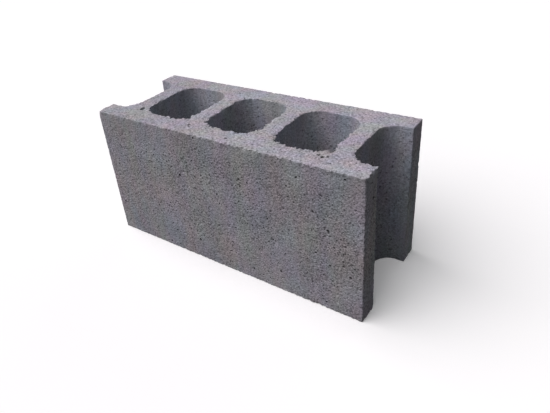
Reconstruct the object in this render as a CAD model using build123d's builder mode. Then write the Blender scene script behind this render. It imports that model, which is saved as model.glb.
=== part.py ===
# A hollow concrete block for reinforced walls, moulded in one piece.
# Three cores run through it from bed to bed. Each end is open with half a core,
# so two blocks laid end to end close one more core between them.
# Millimetres, standing on its lower bed face, +Z up and +X along its length.

import os

from build123d import *

os.makedirs("parts", exist_ok=True)

# The body as it leaves the mould
block_length = 390.0
block_thickness = 150.0
block_height = 190.0

# The mortar joint between two blocks in a course, which the end cores allow for
mortar_joint = 10.0

# The cores, open right through and widest at the upper bed
closed_cores = 3
web_at_top = 22.0
shell_at_top = 27.0
core_corner_radius = 24.0

# How far each wall of a core has come in by the lower bed, so that it draws
core_draft = 2.0

# The soft arris along every corner of the block
arris_radius = 1.5

# Core centres stand one module apart, with the outermost two in the joints
core_pitch = (block_length + mortar_joint) / (closed_cores + 1)
core_length = core_pitch - web_at_top
core_width = block_thickness - 2 * shell_at_top

# The tapered core that forms each opening
with BuildPart() as core_former:
    with BuildSketch(Plane.XY):
        RectangleRounded(
            core_length - 2 * core_draft,
            core_width - 2 * core_draft,
            core_corner_radius - core_draft,
        )
    with BuildSketch(Plane.XY.offset(block_height)):
        RectangleRounded(core_length, core_width, core_corner_radius)
    loft()

with BuildPart() as block:
    Box(
        block_length,
        block_thickness,
        block_height,
        align=(Align.CENTER, Align.CENTER, Align.MIN),
    )

    # The closed cores in a row, and at each end the half that opens outwards
    with GridLocations(core_pitch, 0, closed_cores + 2, 1):
        add(core_former.part, mode=Mode.SUBTRACT)

    # Every corner that the mould leaves is slightly soft: the outline of both beds,
    # the rims of the cores, and the upright corners of the four shell ends
    bed_edges = block.faces().filter_by(Axis.Z).edges()
    upright_edges = block.faces().filter_by(Axis.X).edges().group_by(Axis.Z)[1]
    fillet(bed_edges + upright_edges, arris_radius)

block.part.label = "block"
export_step(block.part, "parts/block.step")
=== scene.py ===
"""The looks of a hollow concrete block: its pitted, worn surface, finish, floor, light and camera."""

import math
from functools import partial
from typing import NamedTuple

import bpy
import numpy as np
from mathutils import Matrix, Vector, kdtree, noise
from mathutils.geometry import delaunay_2d_cdt


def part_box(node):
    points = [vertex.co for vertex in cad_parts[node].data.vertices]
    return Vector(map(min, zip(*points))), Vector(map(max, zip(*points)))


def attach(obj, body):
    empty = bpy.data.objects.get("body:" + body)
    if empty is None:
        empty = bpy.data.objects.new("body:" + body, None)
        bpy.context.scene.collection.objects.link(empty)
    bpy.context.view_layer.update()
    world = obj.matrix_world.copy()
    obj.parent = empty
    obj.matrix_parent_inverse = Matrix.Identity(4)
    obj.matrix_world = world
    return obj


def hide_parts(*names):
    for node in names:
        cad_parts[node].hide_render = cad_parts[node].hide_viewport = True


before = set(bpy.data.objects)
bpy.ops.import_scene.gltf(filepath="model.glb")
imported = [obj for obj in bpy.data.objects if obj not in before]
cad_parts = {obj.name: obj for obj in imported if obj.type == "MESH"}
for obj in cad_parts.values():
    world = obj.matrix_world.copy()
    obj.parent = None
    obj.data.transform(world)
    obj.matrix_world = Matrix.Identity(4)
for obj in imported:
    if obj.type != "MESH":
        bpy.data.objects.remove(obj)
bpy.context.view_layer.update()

METRES = 0.001

# Lengths are in millimetres, unless a comment or a name says otherwise.
# The block's own size comes from the frame.
low_corner, high_corner = (np.array(corner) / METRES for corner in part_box("block"))
LENGTH, THICKNESS, HEIGHT = high_corner - low_corner

# The cores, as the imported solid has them
CLOSED_CORES = 3
MORTAR_JOINT = 10.0
WEB_AT_TOP = 22.0
SHELL_AT_TOP = 27.0
CORE_CORNER = 24.0
CORE_DRAFT = 2.0
CORE_PITCH = (LENGTH + MORTAR_JOINT) / (CLOSED_CORES + 1)

# The round along every corner, before teeth and chips wear it away. A wall and a bed share the rim,
# which lies where the round crosses its own diagonal. Each then has rows of points further in, placed
# by fractions of the round's radius.
ARRIS = 1.0
ARRIS_STEPS = 4
RIM_INSET = (1.0 - math.sqrt(0.5)) * ARRIS
ARRIS_ROWS = (0.62, 1.0)

# Steps between points: along the rims, in a band near the corners, and elsewhere. Scattered points
# stay clear of rims and seams. Their rows lie a little closer than a step, and each is moved by up to
# a share of it.
RIM_STEP = 1.2
FINE_STEP = 2.5
COARSE_STEP = 6.2
FINE_BAND = 7.0
CLEAR_OF_RIM = 2.3
CLEAR_OF_SEAM = 1.5
ROW_SPACING = 0.87
JITTER = 0.28

# The area in square millimetres for each void that is tried. Some find no room, or no luck.
OUTSIDE_VOID_AREA = 50.0
CORE_VOID_AREA = 300.0
UPPER_BED_VOID_AREA = 110.0
LOWER_BED_VOID_AREA = 260.0

# The paste closes up in a band below the upper bed, where the chance of a void goes down to a share.
# In the half cores it is that share of what it is elsewhere.
CLOSED_BAND = 45.0
FEWEST_VOIDS = 0.25

# Scattered voids: the radius of the mouth, the depth as a share of it, and the room that each keeps
SMALLEST_VOID = 0.65
VOID_SPREAD = 0.3
LARGEST_VOID = 2.2
VOID_DEPTH = (0.55, 1.05)
VOID_MARGIN = 2.0
ROOM_TO_CORNER = 1.6
ROOM_TO_VOID = 1.45
GAP_TO_VOID = 0.3
GAP_TO_POINT = 0.6

# How uneven a void is: its mouth, how long it is drawn out, and its floor
MOUTH_SPREAD = (0.78, 1.2)
VOID_STRETCH = (1.0, 1.25)
FLOOR_SPREAD = (0.8, 1.15)
VOID_REACH = MOUTH_SPREAD[1] * VOID_STRETCH[1]

# Voids under a radius have so many sides, and rings at shares of their radius and of their depth
VOID_FORMS = (
    (0.85, 6, ((1.0, 0.06), (0.0, 1.0))),
    (1.3, 7, ((1.0, 0.06), (0.7, 0.8), (0.0, 1.0))),
    (math.inf, 10, ((1.0, 0.06), (0.8, 0.65), (0.48, 1.0), (0.0, 0.95))),
)

# Voids that show one by one in the upper bed: x, y, radius and depth
UPPER_BED_VOIDS = (
    (-142.5, -42.5, 4.3, 4.8),
    (-77.0, -62.5, 1.5, 1.3),
    (-48.5, -54.0, 1.9, 1.9),
    (-45.5, -58.0, 1.7, 1.6),
    (-47.5, 28.0, 1.6, 1.4),
    (-51.5, 54.5, 1.9, 1.6),
    (17.0, -64.5, 2.2, 1.7),
    (53.5, -63.0, 1.5, 1.6),
    (131.0, -52.5, 2.3, 2.6),
    (136.8, -54.5, 2.5, 2.8),
    (141.8, -52.0, 1.8, 2.2),
    (136.0, -60.0, 1.3, 1.4),
    (154.0, 52.5, 1.7, 1.8),
)

# Chips knocked off the corners of the upper bed: x, y, z, radius and depth
LARGE_CHIPS = (
    (-195.0, -75.0, HEIGHT, 6.0, 1.8),
    (-171.5, -45.5, HEIGHT, 4.5, 1.5),
    (-63.5, -38.0, HEIGHT, 5.5, 2.2),
    (137.5, -36.5, HEIGHT, 8.0, 3.4),
    (-60.0, -75.0, HEIGHT, 2.6, 1.0),
    (62.8, -75.0, HEIGHT, 3.0, 1.3),
    (68.6, -75.0, HEIGHT, 2.6, 1.2),
    (-9.5, 75.0, HEIGHT, 3.0, 1.0),
    (30.0, 73.5, HEIGHT, 2.4, 0.7),
    (156.0, 73.5, HEIGHT, 2.4, 0.6),
)

# Little chips: how far apart they are round each bed, their radius, and their depth as a share of it.
# Each upright corner has a few of its own, away from the beds.
UPPER_CHIP_SPACING = 34.0
LOWER_CHIP_SPACING = 70.0
CHIP_RADIUS = (1.4, 3.2)
CHIP_DEPTH = (0.2, 0.38)
UPRIGHT_CHIPS = 3
UPRIGHT_CHIP_MARGIN = 8.0
UPRIGHT_CHIP_RADIUS = (1.6, 3.4)
UPRIGHT_CHIP_DEPTH = (0.15, 0.3)


class Ripple(NamedTuple):
    """Smooth bumps all through space: how deep and how wide they are, and where the noise starts."""

    depth: float
    width: float
    start: float

    # Sets the noise off by different amounts along the three axes
    SKEW = 0.37

    def at(self, place):
        """How deep the bumps are at a place, on either side of nothing."""
        start = Vector((self.start, self.start * self.SKEW, -self.start))
        return self.depth * noise.noise(Vector(place) / self.width + start)


# The ragged teeth along every rim, with a slow sway and fine crumbs, and the range that they keep to.
# Less than nothing juts out past the face, and more is cut in. The size of a dip is how far the rim
# sinks into its bed, and the reach is how far from a rim the pull of its teeth is felt.
TEETH = Ripple(3.4, 3.7, 23.0)
SWAY = Ripple(1.2, 9.0, 11.0)
CRUMBS = Ripple(1.7, 1.9, 41.0)
TOOTH_MIDDLE = -0.7
TOOTH_RANGE = (-2.0, 2.2)
DIPS = Ripple(1.9, 3.7, 51.0)
DIP_MIDDLE = -0.25
DIP_RANGE = (-0.8, 1.6)
TOOTH_REACH = 5.0

# How ragged the rims are: of the cores, of the outside, and the share of it at the lower bed
CORE_RAGGEDNESS = 1.0
OUTSIDE_RAGGEDNESS = 0.42
LOWER_BED_SHARE = 0.3

# How much the corners are knocked about: more towards the front, and less at the left end
KNOCKED_TO_FRONT = 0.9
KNOCKED_RANGE = (0.35, 1.4)
KNOCKED_AT_LEFT = 0.55

# Wear of the whole surface, and what is rubbed off the corners besides
SURFACE_WEAR = 0.05
SWELLS = Ripple(0.12, 34.0, 3.0)
DIMPLES = Ripple(0.15, 6.5, 5.0)
CORNER_WEAR = 0.2
LEAST_CORNER_WEAR = -0.3
NICKS = Ripple(2.5, 2.7, 37.0)
RIM_RUBBED = 0.5
ROW_RUBBED = 0.4
UPRIGHT_RUBBED = 0.2

SEED = 43
SHARP_ANGLE = math.radians(38)


def clamp(value, least, most):
    """A value kept within a range."""
    return min(max(value, least), most)


def arris_drop(distance):
    """How far a quarter-round corner falls away at a distance in from the sharp corner."""
    inside = np.clip(ARRIS - distance, 0.0, ARRIS)
    return ARRIS - np.sqrt(ARRIS**2 - inside**2)


def core_half_sizes(rise):
    """Half length, half width and corner radius of a core, with rise 0 at the lower bed and 1 at the top."""
    inset = CORE_DRAFT * (1.0 - rise)
    half_length = (CORE_PITCH - WEB_AT_TOP) / 2 - inset
    half_width = THICKNESS / 2 - SHELL_AT_TOP - inset
    return half_length, half_width, CORE_CORNER - inset


def core_corners(centre_x, rise):
    """Corners of a closed core, with the solid on the left of the way round."""
    a, b, radius = core_half_sizes(rise)
    plan = ((a, -b), (-a, -b), (-a, b), (a, b))
    return [(centre_x + x, y, radius) for x, y in plan]


def outside_corners(rise):
    """Corners of the block's outside, which runs in and out of the half cores at its ends."""
    a, b, radius = core_half_sizes(rise)
    end, face = LENGTH / 2, THICKNESS / 2
    web = 2 * CORE_PITCH - a
    right = [
        (end, -face, ARRIS),
        (end, -b, ARRIS),
        (web, -b, radius),
        (web, b, radius),
        (end, b, ARRIS),
        (end, face, ARRIS),
    ]
    left = [(-x, -y, r) for x, y, r in right]
    return right + left


def trace(corners, arc_steps, side_steps):
    """Points and outward normals round a loop of straight sides and quarter-round corners."""
    points, normals = [], []
    for i, (x, y, radius) in enumerate(corners):
        next_x, next_y, next_radius = corners[(i + 1) % len(corners)]
        corner, next_corner = np.array((x, y)), np.array((next_x, next_y))
        arrive = corner - np.array(corners[i - 1][:2])
        leave = next_corner - corner
        arrive, leave = arrive / np.linalg.norm(arrive), leave / np.linalg.norm(leave)
        centre = corner + (leave - arrive) * radius
        for turn in np.linspace(0, math.pi / 2, arc_steps, endpoint=False):
            points.append(centre + radius * (arrive * math.sin(turn) - leave * math.cos(turn)))
            travel = arrive * math.cos(turn) + leave * math.sin(turn)
            normals.append((travel[1], -travel[0]))
        side_start = corner + leave * radius
        side_end = next_corner - leave * next_radius
        for share in np.linspace(0, 1, side_steps, endpoint=False):
            points.append(side_start + (side_end - side_start) * share)
            normals.append((leave[1], -leave[0]))
    points.append(points[0])
    normals.append(normals[0])
    return np.array(points), np.array(normals)


class Loop:
    """A wall that runs right round a core or the outside, unrolled into lengths round it and heights."""

    ARC_STEPS = 24
    SIDE_STEPS = 4

    def __init__(self, corners_at):
        self.low, self.normals = trace(corners_at(0.0), self.ARC_STEPS, self.SIDE_STEPS)
        self.high, _ = trace(corners_at(1.0), self.ARC_STEPS, self.SIDE_STEPS)
        middle = (self.low + self.high) / 2
        lengths = np.linalg.norm(np.diff(middle, axis=0), axis=1)
        self.along = np.concatenate(([0.0], np.cumsum(lengths)))
        self.length = self.along[-1]
        self.arrises = []
        rim = []
        corner_steps = self.ARC_STEPS + self.SIDE_STEPS
        for i, (_, _, radius) in enumerate(corners_at(0.5)):
            first = i * corner_steps
            start, turned, end = self.along[[first, first + self.ARC_STEPS, first + corner_steps]]
            is_arris = radius <= ARRIS
            if is_arris:
                self.arrises.append((start, turned))
            arc_steps = ARRIS_STEPS if is_arris else math.ceil((turned - start) / RIM_STEP)
            side_steps = math.ceil((end - turned) / RIM_STEP)
            rim.extend(np.linspace(start, turned, arc_steps, endpoint=False))
            rim.extend(np.linspace(turned, end, side_steps, endpoint=False))
        self.rim = np.array(rim)

    def place(self, along, height):
        """Plan positions and outward plan normals at lengths round the wall and heights."""
        rise = height / HEIGHT
        plan, outward = [], []
        for axis in (0, 1):
            low = np.interp(along, self.along, self.low[:, axis])
            high = np.interp(along, self.along, self.high[:, axis])
            plan.append(low + (high - low) * rise)
            outward.append(np.interp(along, self.along, self.normals[:, axis]))
        outward = np.stack(outward, axis=-1)
        outward /= np.linalg.norm(outward, axis=-1, keepdims=True)
        return np.stack(plan, axis=-1), outward

    def edge_distance(self, spots):
        """How far unrolled points are from the nearest corner of the block."""
        distance = np.minimum(spots[:, 1], HEIGHT - spots[:, 1])
        for start, turned in self.arrises:
            apart = np.maximum(start - spots[:, 0], spots[:, 0] - turned)
            distance = np.minimum(distance, np.maximum(apart, 0.0))
        return distance


class Chart:
    """One flat or unrolled part of the surface: its points, and the numbers of their vertices."""

    def __init__(self, surface, placed):
        self.surface, self.placed = surface, placed
        self.spots, self.numbers = [], []

    def share(self, spots, numbers):
        """Takes in vertices that are there already."""
        self.spots.append(spots)
        self.numbers.append(numbers)

    def add(self, spots, rubbed=0.0, hollow=0.0):
        """Makes vertices where the chart places its points, and returns their numbers."""
        positions, normals = self.placed(spots)
        numbers = self.surface.add(positions, normals, rubbed, hollow)
        self.share(spots, numbers)
        return numbers


class Surface:
    """The vertices and triangles of the whole block, gathered from charts that share their rims."""

    INSIDE_THE_OUTLINE = 1
    MERGE_WITHIN = 1e-3

    def __init__(self):
        self.positions, self.normals, self.rubbed, self.hollow, self.triangles = [], [], [], [], []
        self.count = 0

    def add(self, positions, normals, rubbed, hollow):
        """Adds vertices and returns their numbers."""
        first, self.count = self.count, self.count + len(positions)
        self.positions.append(positions)
        self.normals.append(normals)
        self.rubbed.append(np.broadcast_to(rubbed, len(positions)))
        self.hollow.append(np.broadcast_to(hollow, len(positions)))
        return np.arange(first, self.count)

    def fill(self, chart, outline, keep=None, flip=False):
        """Joins a chart's points into triangles inside an outline, which is rings of their numbers."""
        spots, numbers = np.concatenate(chart.spots), np.concatenate(chart.numbers)
        edges = [edge for ring in outline for edge in zip(ring, ring[1:] + ring[:1])]
        _, _, faces, sources, _, _ = delaunay_2d_cdt(
            [Vector(spot) for spot in spots], edges, [], self.INSIDE_THE_OUTLINE, self.MERGE_WITHIN
        )
        first_source = np.array([min(source) for source in sources])
        faces = first_source[np.array(faces)]
        if keep is not None:
            faces = faces[keep(spots[faces].mean(axis=1))]
        if flip:
            faces = faces[:, ::-1]
        self.triangles.append(numbers[faces])


def scatter(rng, low, high, step):
    """Uneven rows of points that fill a rectangle about a step apart."""
    rows = np.arange(low[1], high[1], step * ROW_SPACING)
    columns = np.arange(low[0], high[0], step)
    across, up = np.meshgrid(columns, rows)
    across = across + step / 2 * (np.arange(len(rows)) % 2)[:, None]
    spots = np.stack((across.ravel(), up.ravel()), axis=1)
    spots += rng.uniform(-JITTER, JITTER, spots.shape) * step
    return spots[(spots > low).all(axis=1) & (spots < high).all(axis=1)]


def background(rng, low, high, edge_distance):
    """Points over a chart, close together near the block's corners and further apart elsewhere."""
    fine = scatter(rng, low, high, FINE_STEP)
    distance = edge_distance(fine)
    fine = fine[(distance > CLEAR_OF_RIM) & (distance < FINE_BAND)]
    coarse = scatter(rng, low, high, COARSE_STEP)
    coarse = coarse[edge_distance(coarse) > FINE_BAND + FINE_STEP / 2]
    return np.concatenate((fine, coarse))


def choose_voids(rng, low, high, edge_distance, area_each, chance, given=()):
    """Places for voids, as rows of chart place, radius and depth, none touching another or a corner."""
    voids = [np.array(void) for void in given]
    tries = int((high[0] - low[0]) * (high[1] - low[1]) / area_each)
    spots = rng.uniform(low, high, (tries, 2))
    radii = np.minimum(SMALLEST_VOID + rng.exponential(VOID_SPREAD, tries), LARGEST_VOID)
    depths = radii * rng.uniform(*VOID_DEPTH, tries)
    lucky = rng.random(tries) < chance(spots)
    clear = edge_distance(spots) > radii * ROOM_TO_CORNER + ARRIS
    chosen = lucky & clear
    for spot, radius, depth in zip(spots[chosen], radii[chosen], depths[chosen]):
        taken = np.array(voids) if voids else np.zeros((0, 4))
        apart = np.hypot(taken[:, 0] - spot[0], taken[:, 1] - spot[1])
        if (apart > ROOM_TO_VOID * (taken[:, 2] + radius) + GAP_TO_VOID).all():
            voids.append(np.array((*spot, radius, depth)))
    return np.array(voids)


def void_points(rng, void):
    """Points of one irregular void: its ragged mouth, steep sides and floor, with how deep each lies."""
    x, y, radius, depth = void
    sides, rings = next((sides, rings) for under, sides, rings in VOID_FORMS if radius < under)
    angles = rng.uniform(0, 2 * math.pi) + np.arange(sides) * 2 * math.pi / sides
    mouth = radius * rng.uniform(*MOUTH_SPREAD, sides)
    stretch, lean = rng.uniform(*VOID_STRETCH), rng.uniform(0, math.pi)
    spots, sunk = [], []
    for share, level in rings:
        ring_sides = sides if share > 0 else 1
        reach = mouth[:ring_sides] * share
        along = reach * np.cos(angles[:ring_sides]) * stretch
        across = reach * np.sin(angles[:ring_sides]) / stretch
        spots.append(np.column_stack((
            x + along * math.cos(lean) - across * math.sin(lean),
            y + along * math.sin(lean) + across * math.cos(lean),
        )))
        unevenness = rng.uniform(*FLOOR_SPREAD, ring_sides) if share < 1 else 1.0
        sunk.append(np.full(ring_sides, depth * level) * unevenness)
    return np.concatenate(spots), np.concatenate(sunk)


def with_voids(rng, spots, voids):
    """The background points that lie clear of the voids, then the voids' own, with how deep each lies."""
    tree = kdtree.KDTree(len(voids))
    for number, void in enumerate(voids):
        tree.insert((void[0], void[1], 0.0), number)
    tree.balance()
    room = voids[:, 2] * VOID_REACH + GAP_TO_POINT
    clear = [
        all(apart > room[number] for _, number, apart in tree.find_range((x, y, 0.0), room.max()))
        for x, y in spots
    ]
    placed = [void_points(rng, void) for void in voids]
    all_spots = np.concatenate([spots[clear]] + [part for part, _ in placed])
    sunk = np.concatenate([np.zeros(sum(clear))] + [part for _, part in placed])
    return all_spots, sunk


def wall_positions(loop, spots):
    """Places in space and normals of unrolled points, with the arris drawn in at both beds."""
    plan, outward = loop.place(spots[:, 0], spots[:, 1])
    to_bed = np.minimum(spots[:, 1], HEIGHT - spots[:, 1])
    plan = plan - outward * arris_drop(to_bed)[:, None]
    lean = np.clip((ARRIS - to_bed) / ARRIS, 0.0, 1.0)
    up = np.where(spots[:, 1] > HEIGHT / 2, lean, -lean)
    flat = np.sqrt(1.0 - lean**2)
    normals = np.column_stack((outward * flat[:, None], up))
    return np.column_stack((plan, spots[:, 1])), normals


def extended(points, last):
    """Points with one more coordinate, which is the same for all of them."""
    return np.column_stack((points, np.full(len(points), last)))


def rim_vertices(surface, loop, upper):
    """The row of vertices, half way round the arris, that a wall and a bed share."""
    height = HEIGHT - RIM_INSET if upper else RIM_INSET
    positions, normals = wall_positions(loop, extended(loop.rim, height))
    return surface.add(positions, normals, RIM_RUBBED, 0.0)


def wall_outline(rim_count, seam_count):
    """The ring of points round an unrolled wall, whose chart starts with its two rims and two seams."""
    lower_rim = range(rim_count)
    upper_rim = range(rim_count, 2 * rim_count)
    near_seam = range(2 * rim_count, 2 * rim_count + seam_count)
    far_seam = range(2 * rim_count + seam_count, 2 * rim_count + 2 * seam_count)
    return [*lower_rim, *far_seam, *reversed(upper_rim), *reversed(near_seam)]


def add_wall(surface, rng, loop, rims, void_area, chance):
    """Fills one wall between its two rims, with a seam where the unrolled ends meet."""
    bottom, top = RIM_INSET, HEIGHT - RIM_INSET
    chart = Chart(surface, partial(wall_positions, loop))
    around = np.append(loop.rim, loop.length)
    for rim, height in zip(rims, (bottom, top)):
        chart.share(extended(around, height), np.append(rim, rim[0]))

    seam_heights = np.arange(bottom + FINE_STEP, top - FINE_STEP / 2, FINE_STEP)
    seam = np.column_stack((np.zeros(len(seam_heights)), seam_heights))
    seam_numbers = chart.add(seam)
    chart.share(seam + (loop.length, 0.0), seam_numbers)

    for share in ARRIS_ROWS:
        for height in (share * ARRIS, HEIGHT - share * ARRIS):
            chart.add(extended(loop.rim[1:], height), ROW_RUBBED)

    heights = np.arange(2 * ARRIS, HEIGHT - 2 * ARRIS, FINE_STEP)
    for start, turned in loop.arrises:
        for along in np.linspace(start, turned, ARRIS_STEPS + 1):
            if along > 0:
                middle = 1.0 - abs(2 * (along - start) / (turned - start) - 1.0)
                column = np.column_stack((np.full(len(heights), along), heights))
                chart.add(column, UPRIGHT_RUBBED + UPRIGHT_RUBBED * middle)

    low, high = np.array((CLEAR_OF_SEAM, bottom)), np.array((loop.length - CLEAR_OF_SEAM, top))
    voids = choose_voids(
        rng, low + VOID_MARGIN, high - VOID_MARGIN, loop.edge_distance, void_area, chance
    )
    field, sunk = with_voids(rng, background(rng, low, high, loop.edge_distance), voids)
    chart.add(field, hollow=sunk)
    surface.fill(chart, [wall_outline(len(around), len(seam))])


def bed_depth(spots, rise):
    """How far points of a bed lie in from its nearest edge, less than nothing beyond it."""
    depth = np.minimum(LENGTH / 2 - abs(spots[:, 0]), THICKNESS / 2 - abs(spots[:, 1]))
    a, b, radius = core_half_sizes(rise)
    for number in range(CLOSED_CORES + 2):
        centre = (number - (CLOSED_CORES + 1) / 2) * CORE_PITCH
        away_x = abs(spots[:, 0] - centre) - (a - radius)
        away_y = abs(spots[:, 1]) - (b - radius)
        outside = np.hypot(np.maximum(away_x, 0), np.maximum(away_y, 0))
        inside = np.minimum(np.maximum(away_x, away_y), 0)
        depth = np.minimum(depth, outside + inside - radius)
    return depth


def add_bed(surface, rng, loops, rims, upper, void_area, given=()):
    """Fills a bed between the rims of the outside and the cores."""
    rise, height, up = (1.0, HEIGHT, 1.0) if upper else (0.0, 0.0, -1.0)

    def on_bed(spots):
        return extended(spots, height), np.tile((0.0, 0.0, up), (len(spots), 1))

    def depth_here(spots):
        return bed_depth(spots, rise)

    chart = Chart(surface, on_bed)
    outline, placed = [], 0
    for loop, rim in zip(loops, rims):
        plan, normals = loop.place(loop.rim, height)
        chart.share(plan - normals * RIM_INSET, rim)
        outline.append(list(range(placed, placed + len(rim))))
        placed += len(rim)

    for loop in loops:
        plan, normals = loop.place(loop.rim, height)
        for share in ARRIS_ROWS:
            inset, lean = share * ARRIS, 1.0 - share
            row = plan - normals * inset
            positions = extended(row, height - up * arris_drop(inset))
            row_normals = extended(normals * lean, up * math.sqrt(1 - lean**2))
            chart.share(row, surface.add(positions, row_normals, ROW_RUBBED, 0.0))

    corner = np.array((-LENGTH / 2, -THICKNESS / 2))
    voids = choose_voids(rng, corner, -corner, depth_here, void_area, everywhere, given)
    field, sunk = with_voids(rng, background(rng, corner, -corner, depth_here), voids)
    chart.add(field, hollow=sunk)
    surface.fill(chart, outline, keep=lambda centres: depth_here(centres) > RIM_INSET, flip=not upper)


def knocked(place):
    """How much the corners are knocked about: most at the front, least at the back and the left end."""
    to_front = clamp(1.0 - KNOCKED_TO_FRONT * place[1] / (THICKNESS / 2), *KNOCKED_RANGE)
    return to_front * clamp(1.0 + place[0] / LENGTH, KNOCKED_AT_LEFT, 1.0)


def crumbled(positions, normals, rims):
    """Moves each rim in and out by ragged teeth about as wide as a grain, and what lies near it by less.

    rims pairs the vertices of a rim with how ragged it is."""
    tree = kdtree.KDTree(sum(len(rim) for rim, _ in rims))
    teeth = {}
    for rim, raggedness in rims:
        for i in rim:
            place = Vector(positions[i])
            outward = Vector((*normals[i][:2], 0.0)).normalized()
            tooth = TOOTH_MIDDLE + TEETH.at(place) + SWAY.at(place) + CRUMBS.at(place)
            tooth = clamp(tooth, *TOOTH_RANGE)
            dip = clamp(DIP_MIDDLE + DIPS.at(place), *DIP_RANGE)
            out_of_bed = Vector((0.0, 0.0, math.copysign(dip, normals[i][2])))
            teeth[i] = -raggedness * knocked(place) * (outward * tooth + out_of_bed)
            tree.insert(place, i)
    tree.balance()
    moved = np.array(positions)
    for i, position in enumerate(positions):
        _, nearest, apart = tree.find(position)
        if apart < TOOTH_REACH:
            moved[i] += np.array(teeth[nearest]) * (1.0 - apart / TOOTH_REACH)
    return moved


def worn(positions, normals, rubbed, hollow, chips):
    """Sinks each vertex into the block by its void, the wear of its corner and the chips about it."""
    sink = np.array(hollow)
    for i, (place, rub) in enumerate(zip(positions, rubbed)):
        sink[i] += SURFACE_WEAR + SWELLS.at(place) + DIMPLES.at(place)
        if rub > 0:
            sink[i] += rub * knocked(place) * max(CORNER_WEAR + NICKS.at(place), LEAST_CORNER_WEAR)
    tree = kdtree.KDTree(len(positions))
    for i, place in enumerate(positions):
        tree.insert(place, i)
    tree.balance()
    for x, y, z, radius, depth in chips:
        for _, i, apart in tree.find_range((x, y, z), radius):
            sink[i] += depth * (1.0 - (apart / radius) ** 2)
    return positions - normals * sink[:, None]


def small_chip(rng, loop, along, height, radii, depths):
    """One chip on a wall: x, y, z, radius and depth."""
    plan, _ = loop.place(np.array([along]), height)
    radius = rng.uniform(*radii)
    return (*plan[0], height, radius, radius * rng.uniform(*depths))


def small_chips(rng, loops):
    """Little chips scattered along every corner, more of them round the upper bed."""
    chips = []
    for loop in loops:
        for height, spacing in ((HEIGHT, UPPER_CHIP_SPACING), (0.0, LOWER_CHIP_SPACING)):
            for along in rng.uniform(0, loop.length, int(loop.length / spacing)):
                chips.append(small_chip(rng, loop, along, height, CHIP_RADIUS, CHIP_DEPTH))
        for start, turned in loop.arrises:
            middle = (start + turned) / 2
            for height in rng.uniform(UPRIGHT_CHIP_MARGIN, HEIGHT - UPRIGHT_CHIP_MARGIN, UPRIGHT_CHIPS):
                chips.append(small_chip(rng, loop, middle, height, UPRIGHT_CHIP_RADIUS, UPRIGHT_CHIP_DEPTH))
    return chips


def everywhere(spots):
    """An even chance of a void."""
    return np.ones(len(spots))


def on_outside(outside, spots):
    """The chance of a void on the outside, which is less near the upper bed and in the half cores."""
    plan, _ = outside.place(spots[:, 0], spots[:, 1])
    in_half_core = abs(plan[:, 1]) < THICKNESS / 2 - SHELL_AT_TOP + ARRIS
    below_bed = np.clip((HEIGHT - spots[:, 1]) / CLOSED_BAND, FEWEST_VOIDS, 1.0)
    return below_bed * np.where(in_half_core, FEWEST_VOIDS, 1.0)


def mesh_object(name, positions, triangles, hollow):
    """A smooth-shaded object of the vertices that the triangles use, with how deep in a void each lies."""
    used, corners = np.unique(triangles, return_inverse=True)
    mesh = bpy.data.meshes.new(name)
    mesh.from_pydata(positions[used] * METRES, [], corners.reshape(-1, 3))
    depths = mesh.attributes.new("hollow", "FLOAT", "POINT")
    depths.data.foreach_set("value", hollow[used].astype(np.float32))
    mesh.shade_smooth()
    mesh.set_sharp_from_angle(angle=SHARP_ANGLE)
    mesh.validate()
    made = bpy.data.objects.new(name, mesh)
    bpy.context.scene.collection.objects.link(made)
    return made


def build_block():
    """The whole block as one closed mesh, with its voids, arrises and chips as real shape."""
    rng = np.random.default_rng(SEED)
    outside = Loop(outside_corners)
    centres = [(number - (CLOSED_CORES - 1) / 2) * CORE_PITCH for number in range(CLOSED_CORES)]
    cores = [Loop(partial(core_corners, x)) for x in centres]
    loops = [outside] + cores
    surface = Surface()
    lower_rims = [rim_vertices(surface, loop, upper=False) for loop in loops]
    upper_rims = [rim_vertices(surface, loop, upper=True) for loop in loops]

    outside_rims, *core_rims = zip(lower_rims, upper_rims)
    add_wall(surface, rng, outside, outside_rims, OUTSIDE_VOID_AREA, partial(on_outside, outside))
    for core, rims in zip(cores, core_rims):
        add_wall(surface, rng, core, rims, CORE_VOID_AREA, everywhere)
    add_bed(surface, rng, loops, upper_rims, True, UPPER_BED_VOID_AREA, UPPER_BED_VOIDS)
    add_bed(surface, rng, loops, lower_rims, False, LOWER_BED_VOID_AREA)

    raggedness = [OUTSIDE_RAGGEDNESS] + [CORE_RAGGEDNESS] * len(cores)
    ragged_rims = list(zip(upper_rims, raggedness))
    ragged_rims += [(rim, LOWER_BED_SHARE * ragged) for rim, ragged in zip(lower_rims, raggedness)]
    normals, hollow = np.concatenate(surface.normals), np.concatenate(surface.hollow)
    positions = crumbled(np.concatenate(surface.positions), normals, ragged_rims)
    chips = small_chips(rng, loops) + list(LARGE_CHIPS)
    positions = worn(positions, normals, np.concatenate(surface.rubbed), hollow, chips)
    return mesh_object("concrete_block", positions, np.concatenate(surface.triangles), hollow)


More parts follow.
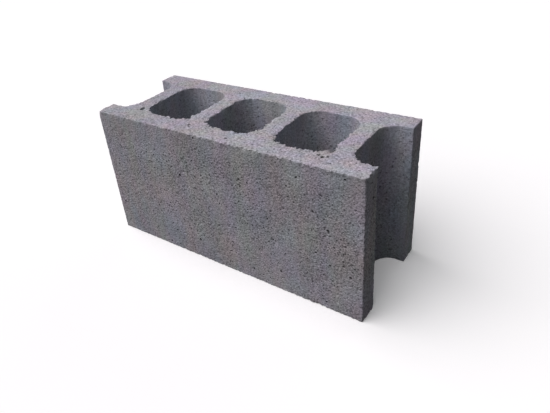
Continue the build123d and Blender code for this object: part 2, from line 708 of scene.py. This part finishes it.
class Nodes:
    """A short way to write a node tree."""

    def __init__(self, tree):
        self.tree = tree
        tree.nodes.clear()

    def new(self, kind, settings=None, **inputs):
        """Adds a node. Inputs are named as their sockets, with _ for a space, or i and a socket's number."""
        node = self.tree.nodes.new("ShaderNode" + kind)
        for name, value in (settings or {}).items():
            setattr(node, name, value)
        for name, value in inputs.items():
            socket = node.inputs[int(name[1:]) if name[1:].isdigit() else name.replace("_", " ")]
            if isinstance(value, bpy.types.NodeSocket):
                self.tree.links.new(value, socket)
            else:
                socket.default_value = value
        return node

    def math(self, operation, *values):
        """A Math node's result."""
        inputs = {f"i{number}": value for number, value in enumerate(values)}
        return self.new("Math", {"operation": operation}, **inputs).outputs[0]

    def between(self, value, start, end, to_start=0.0, to_end=1.0):
        """A value mapped, and clamped, from one range to another."""
        node = self.new(
            "MapRange", Value=value, From_Min=start, From_Max=end, To_Min=to_start, To_Max=to_end
        )
        return node.outputs["Result"]

    def layered(self, base, *layers):
        """A base with patterns added to it. Each layer is a pattern and its weight."""
        for pattern, weight in layers:
            base = self.math("MULTIPLY_ADD", pattern, weight, base)
        return base

    def separate(self, vector):
        """The three parts of a vector."""
        return self.new("SeparateXYZ", Vector=vector).outputs

    def blend(self, share, first, second):
        """A colour that goes from one to another."""
        return self.new("Mix", {"data_type": "RGBA"}, i0=share, i6=first, i7=second).outputs[2]

    def tinted(self, colour, tint):
        """A colour multiplied by a tint."""
        return self.new("VectorMath", {"operation": "MULTIPLY"}, i0=colour, i1=tint).outputs[0]


class Clouds(NamedTuple):
    """A noise in the finish: how often it repeats in a metre, its detail, and its tone and relief."""

    per_metre: float
    detail: float = 2.0
    roughness: float = 0.5
    tone: float = 0.0
    relief: float = 0.0

    # The middle of any noise, and how far from it the patches of one reach their full strength
    MIDDLE = 0.5
    HALF_RANGE = 0.16


# The patterns of the finish. Tone is how much one lightens the concrete, relief how much it raises it.
# A rise under 1 draws a pattern out upwards, and a start takes another part of the noise.
BLOTCHES = Clouds(17.0, 3.0, tone=0.65)
PATCHES = Clouds(16.0, 1.0)
PINKNESS = Clouds(40.0)
BLUENESS = Clouds(38.0)
DRAG = Clouds(220.0, tone=0.25)
LUMPS = Clouds(270.0, roughness=0.6, relief=1.8)
MOTTLE = Clouds(430.0, 1.5, 0.6, relief=0.8)
SAND = Clouds(900.0, 1.0, tone=0.5, relief=0.35)
DRAG_RISE = 0.1
PINK_RISE = 0.45
BLUE_RISE = 0.35
PATCHES_START = (11.0, 2.0, 5.0)
BLUENESS_START = (3.0, 5.0, 7.0)
RELIEF_HEIGHT = 0.6

# Grains of sand: the cells in a metre, and the distance from a cell's middle where a grain stands up
GRAINS_PER_METRE = 420.0
GRAIN_MIDDLE = 0.45
GRAIN_TONE = 0.4
GRAIN_RELIEF = 0.65

# Small round pits: how many cells in a metre, of which some stay bare, and the widest pit in a cell. Painted
# shade darkens the pits, and lifts the rest a little to make up for it.
PITS = ((270.0, 0.48), (480.0, 0.42))
BARE_SHARE = 0.6
PIT_SLOPE = 0.14
PIT_PAINTED_SHADE = -0.6
UNPITTED_TONE = 1.06
PIT_RELIEF = -0.6

# How open the surface is to pits: at the top and the foot of a wall, from patch to patch, on the beds
OPEN_AT_TOP = 0.45
OPEN_AT_FOOT = 0.75
FOOT_BAND = 50.0
OPEN_PATCHES = (0.65, 1.12)
OPEN_BEDS = 0.6

# How mottled the surface is: over a range of openness on the walls, on the beds, and less in the cores
MOTTLED_OPENNESS = (0.3, 1.2)
MOTTLING = (0.9, 1.8)
BED_MOTTLING = 1.5
CORE_MOTTLING_CHANGE = -0.25

# The look of a bed comes in as the surface faces up or down by so much. The look of a core's wall goes
# out over so many millimetres from the cores into the shells.
BED_FACING = (0.5, 0.8)
CORE_FADE = (0.3, 1.0)

# Tones: less blotchy beds; walls a little paler towards the left end, a painted light that falls off from
# there, and beds a little darker there;
# and painted shade in the voids, which is less in the cores
BED_BLOTCH_CHANGE = -0.45
LEFT_PAINTED_LIGHT = 0.1
LEFT_BED_LOSS = 0.14
VOID_SHADE = (0.15, 1.2)
VOID_PAINTED_SHADE = -0.7
CORE_VOID_SHADE_CHANGE = 0.4

# Colours, and the tints that multiply them. The cores are a little bluer, a painted cool shade, and the beds
# pinker, a painted warm light.
GREEN_GREY = (0.345, 0.365, 0.386, 1.0)
PINK_GREY = (0.388, 0.350, 0.391, 1.0)
YELLOW_CAST = (1.025, 1.02, 0.945, 1.0)
BLUE_CAST = (0.98, 0.985, 1.06, 1.0)
UNTINTED = (1.0, 1.0, 1.0, 1.0)
CORE_PAINTED_SHADE_TINT = (0.965, 1.0, 1.03, 1.0)
BED_PAINTED_LIGHT_TINT = (1.015, 0.995, 1.02, 1.0)
ROUGHNESS = 0.92
SPECULAR = 0.2


class Finish(Nodes):
    """The concrete's nodes, which start from the place on the block and the way the surface faces."""

    def __init__(self, tree):
        super().__init__(tree)
        coordinates = self.new("TexCoord").outputs
        self.place = coordinates["Object"]
        self.lengthways, across, self.height = self.separate(self.place)
        facing = self.math("ABSOLUTE", self.separate(coordinates["Normal"])[2])
        self.bed = self.between(facing, *BED_FACING)
        shell = THICKNESS / 2 - SHELL_AT_TOP
        fade_start, fade_end = ((shell + fade) * METRES for fade in CORE_FADE)
        inside = self.between(self.math("ABSOLUTE", across), fade_start, fade_end, 1.0, 0.0)
        self.cored = self.math("MULTIPLY", inside, self.math("SUBTRACT", 1.0, self.bed))

    def clouds(self, pattern, vector=None):
        """A noise about zero."""
        noise_here = self.new(
            "TexNoise", Vector=vector or self.place,
            Scale=pattern.per_metre, Detail=pattern.detail, Roughness=pattern.roughness,
        )
        return self.math("SUBTRACT", noise_here.outputs["Fac"], pattern.MIDDLE)

    def patchy(self, pattern, vector, to_start=0.0, to_end=1.0):
        """A noise stretched over a range."""
        noise_here = self.clouds(pattern, vector)
        return self.between(noise_here, -pattern.HALF_RANGE, pattern.HALF_RANGE, to_start, to_end)

    def elsewhere(self, start):
        """The place on the block moved to another part of the noise."""
        return self.new("VectorMath", {"operation": "ADD"}, i0=self.place, i1=start).outputs[0]

    def drawn_up(self, vector, rise):
        """Coordinates in which patterns are longer upwards, the more so the smaller the rise."""
        return self.new("Mapping", Vector=vector, Scale=(1.0, 1.0, rise)).outputs[0]

    def pits(self, per_metre, widest):
        """Round pits of mixed size, one at most in each cell: 1 inside a pit and 0 where there is none."""
        cells = self.new("TexVoronoi", Vector=self.place, Scale=per_metre).outputs
        luck = self.new("SeparateColor", Color=cells["Color"]).outputs[1]
        size = self.between(luck, BARE_SHARE, 1.0, 0.0, widest)
        return self.between(self.math("SUBTRACT", size, cells["Distance"]), 0.0, PIT_SLOPE)

    def open_wall(self):
        """How open a wall is to pits: less towards the beds, where the paste closes up, and in patches."""
        top = HEIGHT * METRES
        near_top = self.between(self.height, top - CLOSED_BAND * METRES, top, 1.0, OPEN_AT_TOP)
        near_foot = self.between(self.height, 0.0, FOOT_BAND * METRES, OPEN_AT_FOOT, 1.0)
        patches = self.patchy(PATCHES, self.elsewhere(PATCHES_START), *OPEN_PATCHES)
        return self.math("MULTIPLY", self.math("MULTIPLY", near_top, near_foot), patches)

    def tint(self):
        """The concrete's colour before the shade multiplies it: grey with soft upright blotches of tint, a
        painted cool shade in the cores and a painted warm light on the beds.
        """
        pinkness = self.patchy(PINKNESS, self.drawn_up(self.place, PINK_RISE))
        blueness = self.patchy(BLUENESS, self.drawn_up(self.elsewhere(BLUENESS_START), BLUE_RISE))
        grey = self.blend(pinkness, GREEN_GREY, PINK_GREY)
        grey = self.tinted(grey, self.blend(blueness, YELLOW_CAST, BLUE_CAST))
        # Painted cool shade in the cores.
        grey = self.tinted(grey, self.blend(self.cored, UNTINTED, CORE_PAINTED_SHADE_TINT))
        # Painted warm light on the beds.
        return self.tinted(grey, self.blend(self.bed, UNTINTED, BED_PAINTED_LIGHT_TINT))

    def painted_left_light(self):
        """How light the concrete is at the start: painted light that falls off from the left end makes the
        walls paler there, and the beds are a little darker there.
        """
        left_light = self.math("SUBTRACT", LEFT_PAINTED_LIGHT, self.math("MULTIPLY", self.bed, LEFT_BED_LOSS))
        to_left = self.between(self.lengthways, -LENGTH / 2 * METRES, 0.0, 1.0, 0.0)
        return self.math("ADD", self.math("MULTIPLY", left_light, to_left), 1.0)

    def painted_void_shade(self):
        """How much painted shade darkens the voids, more in deeper ones, and less so in the cores."""
        hollow = self.new("Attribute", {"attribute_name": "hollow"}).outputs["Fac"]
        tone = self.layered(VOID_PAINTED_SHADE, (self.cored, CORE_VOID_SHADE_CHANGE))
        return self.layered(1.0, (self.between(hollow, *VOID_SHADE), tone))


def concrete_material():
    """Matt grey concrete: lumps of sand with pits between them, darkened by painted shade, soft blotches of
    tint, and painted light and shade: paler walls towards the left end, darker voids, cooler cores and
    pinker beds.
    """
    material = bpy.data.materials.new("moulded_concrete")
    material.use_nodes = True
    nodes = Finish(material.node_tree)

    open_wall = nodes.open_wall()
    openness = nodes.math("MAXIMUM", open_wall, nodes.math("MULTIPLY", nodes.bed, OPEN_BEDS))
    mottling = nodes.between(open_wall, *MOTTLED_OPENNESS, *MOTTLING)
    mottling = nodes.math("MAXIMUM", mottling, nodes.math("MULTIPLY", nodes.bed, BED_MOTTLING))
    smoothed = nodes.layered(1.0, (nodes.cored, CORE_MOTTLING_CHANGE))
    mottling = nodes.math("MULTIPLY", mottling, smoothed)

    cells = nodes.new("TexVoronoi", Vector=nodes.place, Scale=GRAINS_PER_METRE).outputs
    grains = nodes.math("SUBTRACT", GRAIN_MIDDLE, cells["Distance"])
    mottle, sand = nodes.clouds(MOTTLE), nodes.clouds(SAND)
    drag = nodes.clouds(DRAG, nodes.drawn_up(nodes.place, DRAG_RISE))
    blotchiness = nodes.layered(1.0, (nodes.bed, BED_BLOTCH_CHANGE))
    blotches = nodes.math("MULTIPLY", nodes.clouds(BLOTCHES), blotchiness)
    lumps = nodes.math("MULTIPLY", nodes.clouds(LUMPS), nodes.bed)
    pitted = nodes.math("MAXIMUM", *(nodes.pits(*pits) for pits in PITS))
    pitted = nodes.math("MULTIPLY", pitted, openness)

    # The shade starts from painted light that falls off from the left end.
    shade = nodes.layered(
        nodes.painted_left_light(),
        (blotches, BLOTCHES.tone),
        (mottle, mottling),
        (nodes.math("MULTIPLY", grains, mottling), GRAIN_TONE),
        (sand, SAND.tone),
        (drag, DRAG.tone),
    )
    # Painted shade in the pits.
    shade = nodes.math("MULTIPLY", shade, nodes.layered(UNPITTED_TONE, (pitted, PIT_PAINTED_SHADE)))
    # Painted shade in the voids.
    shade = nodes.math("MULTIPLY", shade, nodes.painted_void_shade())
    colour = nodes.new("VectorMath", {"operation": "SCALE"}, i0=nodes.tint(), Scale=shade).outputs[0]

    relief = nodes.layered(
        nodes.math("MULTIPLY", mottle, MOTTLE.relief),
        (grains, GRAIN_RELIEF),
        (sand, SAND.relief),
        (pitted, PIT_RELIEF),
        (lumps, LUMPS.relief),
    )
    bump = nodes.new("Bump", Strength=1.0, Distance=RELIEF_HEIGHT * METRES, Height=relief).outputs[0]
    surface = nodes.new(
        "BsdfPrincipled",
        Base_Color=colour, Roughness=ROUGHNESS, Specular_IOR_Level=SPECULAR, Normal=bump,
    ).outputs[0]
    nodes.new("OutputMaterial", Surface=surface)
    return material


def seen_directly(nodes):
    """One for what the camera sees, itself or in gloss or glass, and nothing for light that bounces."""
    path = nodes.new("LightPath").outputs
    seen = nodes.math("MAXIMUM", path["Is Camera Ray"], path["Is Glossy Ray"])
    return nodes.math("MAXIMUM", seen, path["Is Transmission Ray"])


# The studio: lengths in metres, colours in linear light
WHITE = (1.0, 1.0, 1.0, 1.0)
FLOOR_HALF_SIZE = 6.0
FLOOR_SEEN = (0.97, 0.97, 0.97, 1.0)
FLOOR_GLOW = 0.12
FLOOR_BOUNCED = (0.03, 0.03, 0.031, 1.0)
FILL_COLOUR = (0.92, 0.975, 0.99, 1.0)
FILL_STRENGTH = 0.086

# Lamps: name, strength, angle across in degrees, colour, and the way towards the lamp
LAMPS = (
    ("soft_key", 3.1, 70, (1.0, 0.965, 0.985), (-0.40, -0.38, 0.834)),
    ("soft_back", 0.35, 60, (0.9, 0.97, 1.0), (0.1, 0.95, 0.3)),
)

# The camera: its place in metres, its azimuth, elevation and lean in degrees, its lens and its shift
CAMERA_PLACE = (0.3702, -0.4651, 0.4481)
CAMERA_ANGLES = (38.23, 30.4, -5.72)
SENSOR_WIDTH = 36.0
FOCAL_LENGTH = 33.83
SHIFT_X = 0.0351
SHIFT_Y = -0.0543


def floor_material():
    """Matt white to the camera, but nearly black to light that bounces."""
    material = bpy.data.materials.new("studio_floor")
    material.use_nodes = True
    nodes = Nodes(material.node_tree)
    bounced = nodes.new("BsdfDiffuse", Color=FLOOR_BOUNCED).outputs[0]
    shown = nodes.new("BsdfDiffuse", Color=FLOOR_SEEN).outputs[0]
    glow = nodes.new("Emission", Color=WHITE, Strength=FLOOR_GLOW).outputs[0]
    shown = nodes.new("AddShader", i0=shown, i1=glow).outputs[0]
    mixed = nodes.new("MixShader", i0=seen_directly(nodes), i1=bounced, i2=shown).outputs[0]
    nodes.new("OutputMaterial", Surface=mixed)
    return material


def add_floor():
    """A plain floor that keeps the block's shadow and throws little light back up."""
    half = FLOOR_HALF_SIZE
    corners = [(-half, -half, 0), (half, -half, 0), (half, half, 0), (-half, half, 0)]
    mesh = bpy.data.meshes.new("floor")
    mesh.from_pydata(corners, [], [(0, 1, 2, 3)])
    mesh.materials.append(floor_material())
    floor = bpy.data.objects.new("floor", mesh)
    bpy.context.scene.collection.objects.link(floor)


def add_light():
    """A broad soft lamp high on the left and in front, a weak one behind, and a little light all round."""
    for name, strength, angle, colour, towards_lamp in LAMPS:
        lamp = bpy.data.lights.new(name, "SUN")
        lamp.energy = strength
        lamp.color = colour
        lamp.angle = math.radians(angle)
        lamp_object = bpy.data.objects.new(name, lamp)
        lamp_object.rotation_euler = Vector(towards_lamp).to_track_quat("Z", "Y").to_euler()
        bpy.context.scene.collection.objects.link(lamp_object)

    world = bpy.data.worlds.new("studio")
    bpy.context.scene.world = world
    world.use_nodes = True
    nodes = Nodes(world.node_tree)
    fill = nodes.new("Background", Color=FILL_COLOUR, Strength=FILL_STRENGTH).outputs[0]
    white = nodes.new("Background", Color=WHITE, Strength=1.0).outputs[0]
    mixed = nodes.new("MixShader", i0=seen_directly(nodes), i1=fill, i2=white).outputs[0]
    nodes.new("OutputWorld", Surface=mixed)


def add_camera():
    """The photograph's view: from the right and in front, looking down, and leaning a little."""
    azimuth, elevation, lean = (math.radians(angle) for angle in CAMERA_ANGLES)
    forward = Vector((
        -math.sin(azimuth) * math.cos(elevation),
        math.cos(azimuth) * math.cos(elevation),
        -math.sin(elevation),
    ))
    level = forward.cross(Vector((0, 0, 1))).normalized()
    upright = level.cross(forward)
    right = level * math.cos(lean) + upright * math.sin(lean)
    up = upright * math.cos(lean) - level * math.sin(lean)
    data = bpy.data.cameras.new("camera")
    data.sensor_width = SENSOR_WIDTH
    data.lens = FOCAL_LENGTH
    data.shift_x = SHIFT_X
    data.shift_y = SHIFT_Y
    camera = bpy.data.objects.new("camera", data)
    turned = Matrix((right, up, -forward)).transposed().to_4x4()
    camera.matrix_world = Matrix.Translation(CAMERA_PLACE) @ turned
    bpy.context.scene.collection.objects.link(camera)
    bpy.context.scene.camera = camera


add_camera()
block = build_block()
block.data.materials.append(concrete_material())
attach(block, "root")
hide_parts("block")
add_floor()
add_light()
bpy.context.scene.view_settings.view_transform = "Standard"
